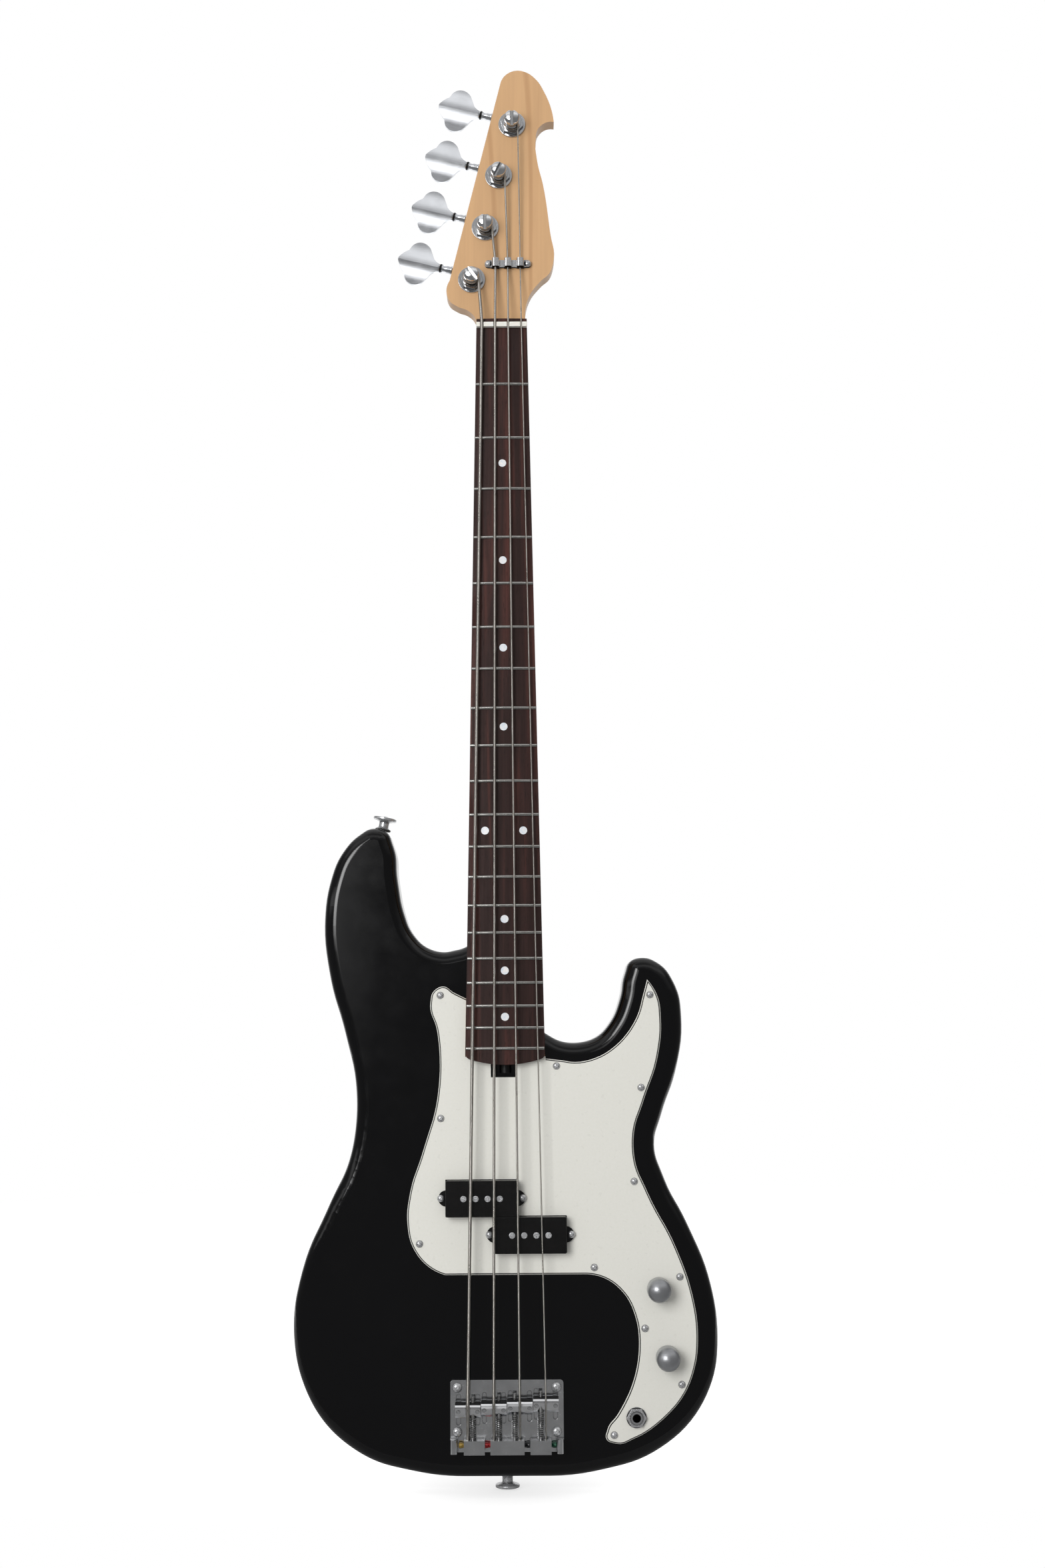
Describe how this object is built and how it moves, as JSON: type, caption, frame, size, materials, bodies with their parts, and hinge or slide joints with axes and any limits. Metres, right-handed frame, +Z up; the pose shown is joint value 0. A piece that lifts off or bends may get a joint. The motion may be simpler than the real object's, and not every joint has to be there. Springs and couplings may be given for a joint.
{
  "type": "electric bass guitar",
  "caption": "Solid-body electric bass guitar with a bolted neck, split pickup, laminated guard, hooded bridge and open-gear tuners.",
  "frame": {"origin": "seat of the tail strap button: centre line, middle of the body's thickness, tail end of the body", "axes": "+Z up the neck to the headstock, +X to the treble side, +Y to the back, so the strings face -Y"},
  "size_m": [0.333, 0.0697, 1.1627],
  "materials": {
    "black_lacquer": "gloss black lacquer on wood",
    "maple": "satin lacquered pale wood",
    "rosewood": "oiled dark wood",
    "fret_wire": "polished",
    "bone": "satin",
    "pearl": "pearly",
    "steel": "plain steel",
    "dark_steel": "dark oxide",
    "chrome": "bright plated",
    "satin_metal": "satin brushed",
    "laminate": "three-ply sheet with bevelled edge",
    "black_plastic": "satin moulded",
    "coil": "wound and lacquered",
    "insulation": "soft",
    "felt": "pressed felt",
    "gear_brass": "cut",
    "string_wire": "round wound"
  },
  "bodies": {
    "instrument": {"body": "black_lacquer", "neck": "maple", "fretboard": "rosewood", "frets": "fret_wire", "nut": "bone", "fret_markers": "pearl", "truss_rod": "steel", "neck_plate": "chrome", "neck_screws": "chrome", "string_retainer": "chrome", "trim_screws": "chrome", "pickguard": "laminate", "pickup_covers": "black_plastic", "pickup_bobbins": "coil", "pole_pieces": "steel", "pot_cases": "steel", "panel_nuts": "chrome", "output_jack": "chrome", "wiring_harness": "insulation", "bridge_plate": "chrome", "bridge_screws": "chrome", "strap_buttons": "chrome", "strap_button_screws": "chrome", "strap_felts": "felt", "tuner_plates": "chrome", "tuner_bushings": "chrome", "tuner_washers": "chrome", "tuner_screws": "chrome", "string_e": "string_wire", "string_a": "string_wire", "string_d": "string_wire", "string_g": "string_wire", "saddle_springs": "steel"},
    "key_e": {"tuner_key_e": "satin_metal", "tuner_worm_e": "steel"},
    "post_e": {"string_post_e": "chrome", "tuner_gear_e": "gear_brass"},
    "key_a": {"tuner_key_a": "satin_metal", "tuner_worm_a": "steel"},
    "post_a": {"string_post_a": "chrome", "tuner_gear_a": "gear_brass"},
    "key_d": {"tuner_key_d": "satin_metal", "tuner_worm_d": "steel"},
    "post_d": {"string_post_d": "chrome", "tuner_gear_d": "gear_brass"},
    "key_g": {"tuner_key_g": "satin_metal", "tuner_worm_g": "steel"},
    "post_g": {"string_post_g": "chrome", "tuner_gear_g": "gear_brass"},
    "volume_knob": {"volume_knob": "satin_metal"},
    "tone_knob": {"tone_knob": "satin_metal"},
    "saddle_e": {"saddle_e": "chrome"},
    "intonation_screw_e": {"intonation_screw_e": "steel"},
    "saddle_a": {"saddle_a": "chrome"},
    "intonation_screw_a": {"intonation_screw_a": "steel"},
    "saddle_d": {"saddle_d": "chrome"},
    "intonation_screw_d": {"intonation_screw_d": "steel"},
    "saddle_g": {"saddle_g": "chrome"},
    "intonation_screw_g": {"intonation_screw_g": "steel"},
    "truss_rod_nut": {"truss_rod_nut": "dark_steel"}
  },
  "joints": [
    {"name": "tuner_key_e", "type": "hinge", "parent": "instrument", "child": "key_e", "pos_m": [-0.0222, -0.0042, 0.97595], "axis": [-0.9699, 0, 0.2436], "continuous": true},
    {"name": "string_post_e", "type": "hinge", "parent": "instrument", "child": "post_e", "pos_m": [-0.025, -0.0042, 0.9648], "axis": [0, -1, 0], "continuous": true},
    {"name": "tuner_key_a", "type": "hinge", "parent": "instrument", "child": "key_a", "pos_m": [-0.01072, -0.0042, 1.02164], "axis": [-0.9699, 0, 0.2436], "continuous": true},
    {"name": "string_post_a", "type": "hinge", "parent": "instrument", "child": "post_a", "pos_m": [-0.01353, -0.0042, 1.01048], "axis": [0, -1, 0], "continuous": true},
    {"name": "tuner_key_d", "type": "hinge", "parent": "instrument", "child": "key_d", "pos_m": [0.00075, -0.0042, 1.06732], "axis": [-0.9699, 0, 0.2436], "continuous": true},
    {"name": "string_post_d", "type": "hinge", "parent": "instrument", "child": "post_d", "pos_m": [-0.00205, -0.0042, 1.05616], "axis": [0, -1, 0], "continuous": true},
    {"name": "tuner_key_g", "type": "hinge", "parent": "instrument", "child": "key_g", "pos_m": [0.01222, -0.0042, 1.113], "axis": [-0.9699, 0, 0.2436], "continuous": true},
    {"name": "string_post_g", "type": "hinge", "parent": "instrument", "child": "post_g", "pos_m": [0.00942, -0.0042, 1.10184], "axis": [0, -1, 0], "continuous": true},
    {"name": "volume_knob", "type": "hinge", "parent": "instrument", "child": "volume_knob", "pos_m": [0.11847, -0.03, 0.14191], "axis": [0, -1, 0], "range_deg": [-150, 150]},
    {"name": "tone_knob", "type": "hinge", "parent": "instrument", "child": "tone_knob", "pos_m": [0.12458, -0.03, 0.0904], "axis": [0, -1, 0], "range_deg": [-150, 150]},
    {"name": "intonation_screw_e", "type": "hinge", "parent": "instrument", "child": "intonation_screw_e", "pos_m": [-0.0261, -0.0306, 0.04], "axis": [0, 0, 1], "range_deg": [-1440.1, 2880.1]},
    {"name": "saddle_e", "type": "slide", "parent": "instrument", "child": "saddle_e", "axis": [0, 0, 1], "range_m": [-0.004, 0.002], "deforming": ["saddle_springs", "string_e"]},
    {"name": "intonation_screw_a", "type": "hinge", "parent": "instrument", "child": "intonation_screw_a", "pos_m": [-0.0061, -0.0306, 0.04], "axis": [0, 0, 1], "range_deg": [-1440.1, 2880.1]},
    {"name": "saddle_a", "type": "slide", "parent": "instrument", "child": "saddle_a", "axis": [0, 0, 1], "range_m": [-0.004, 0.002], "deforming": ["saddle_springs", "string_a"]},
    {"name": "intonation_screw_d", "type": "hinge", "parent": "instrument", "child": "intonation_screw_d", "pos_m": [0.0061, -0.0306, 0.04], "axis": [0, 0, 1], "range_deg": [-1440.1, 2880.1]},
    {"name": "saddle_d", "type": "slide", "parent": "instrument", "child": "saddle_d", "axis": [0, 0, 1], "range_m": [-0.004, 0.002], "deforming": ["saddle_springs", "string_d"]},
    {"name": "intonation_screw_g", "type": "hinge", "parent": "instrument", "child": "intonation_screw_g", "pos_m": [0.0261, -0.0306, 0.04], "axis": [0, 0, 1], "range_deg": [-1440.1, 2880.1]},
    {"name": "saddle_g", "type": "slide", "parent": "instrument", "child": "saddle_g", "axis": [0, 0, 1], "range_m": [-0.004, 0.002], "deforming": ["saddle_springs", "string_g"]},
    {"name": "truss_rod_nut", "type": "hinge", "parent": "instrument", "child": "truss_rod_nut", "pos_m": [0, -0.0192, 0.315], "axis": [0, 0, 1], "range_deg": [-180, 180]}
  ],
  "couplings": [
    {"joint": "string_post_e", "follows": "tuner_key_e", "ratio": -0.05},
    {"joint": "string_post_a", "follows": "tuner_key_a", "ratio": -0.05},
    {"joint": "string_post_d", "follows": "tuner_key_d", "ratio": -0.05},
    {"joint": "string_post_g", "follows": "tuner_key_g", "ratio": -0.05},
    {"joint": "intonation_screw_e", "follows": "saddle_e", "rad_per_m": -12566},
    {"joint": "intonation_screw_a", "follows": "saddle_a", "rad_per_m": -12566},
    {"joint": "intonation_screw_d", "follows": "saddle_d", "rad_per_m": -12566},
    {"joint": "intonation_screw_g", "follows": "saddle_g", "rad_per_m": -12566}
  ]
}
